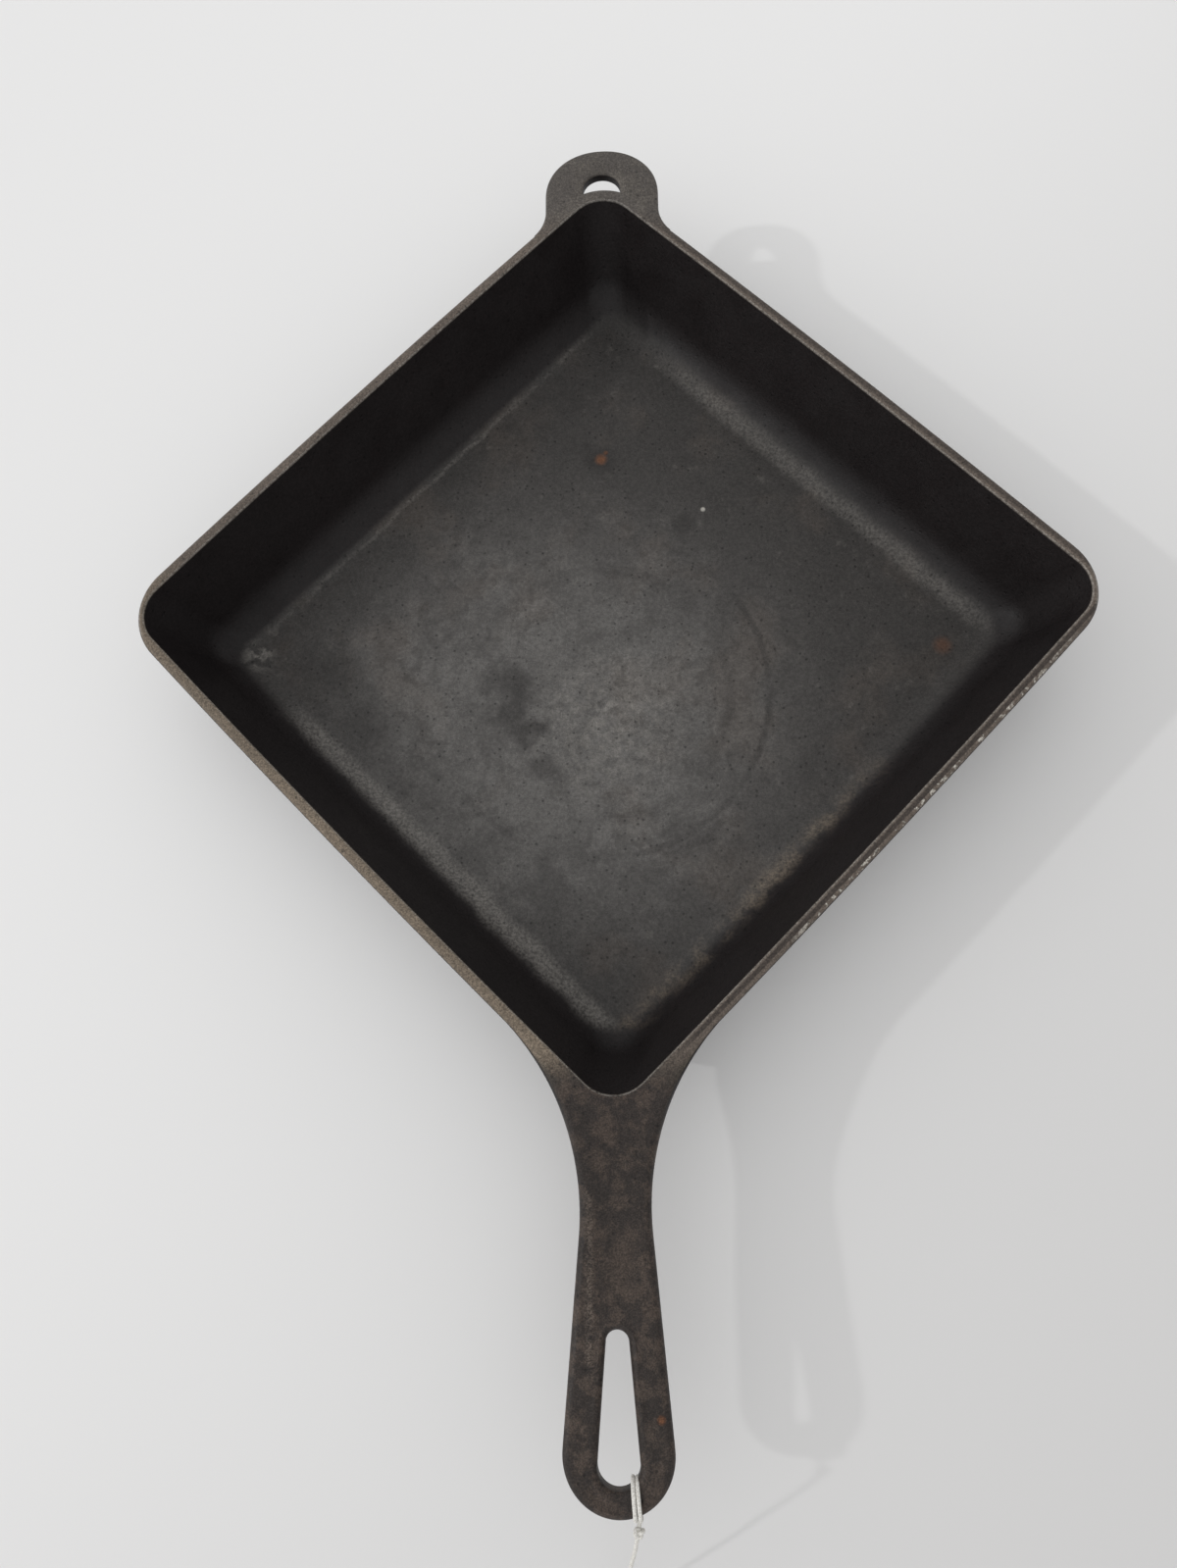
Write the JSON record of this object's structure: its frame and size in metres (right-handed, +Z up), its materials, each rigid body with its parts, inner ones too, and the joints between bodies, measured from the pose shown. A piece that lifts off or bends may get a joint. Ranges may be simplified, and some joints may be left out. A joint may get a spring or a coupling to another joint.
{
  "type": "square cast iron skillet",
  "caption": "Deep square cast iron pan with leaning walls, a slotted handle on one corner, a pierced helper tab on the opposite corner, and a string tied to the handle.",
  "frame": {"origin": "centre of the pan's flat underside", "axes": "+Z up out of the open pan, -Y along the handle, +Y towards the helper tab, +X to the right of someone who holds the handle"},
  "size_m": [0.3418, 0.5519, 0.0465],
  "materials": {
    "iron": "seasoned black-brown iron, worn grey on the floor and brown on the rim, handle and tab",
    "cotton": "undyed two-ply cotton string, slightly fuzzy"
  },
  "bodies": {
    "root": {"pan_body": "iron", "handle": "iron", "helper_tab": "iron", "string_loop": "cotton", "string_knot": "cotton", "string_tail": "cotton", "string_end_knot": "cotton"}
  },
  "joints": []
}
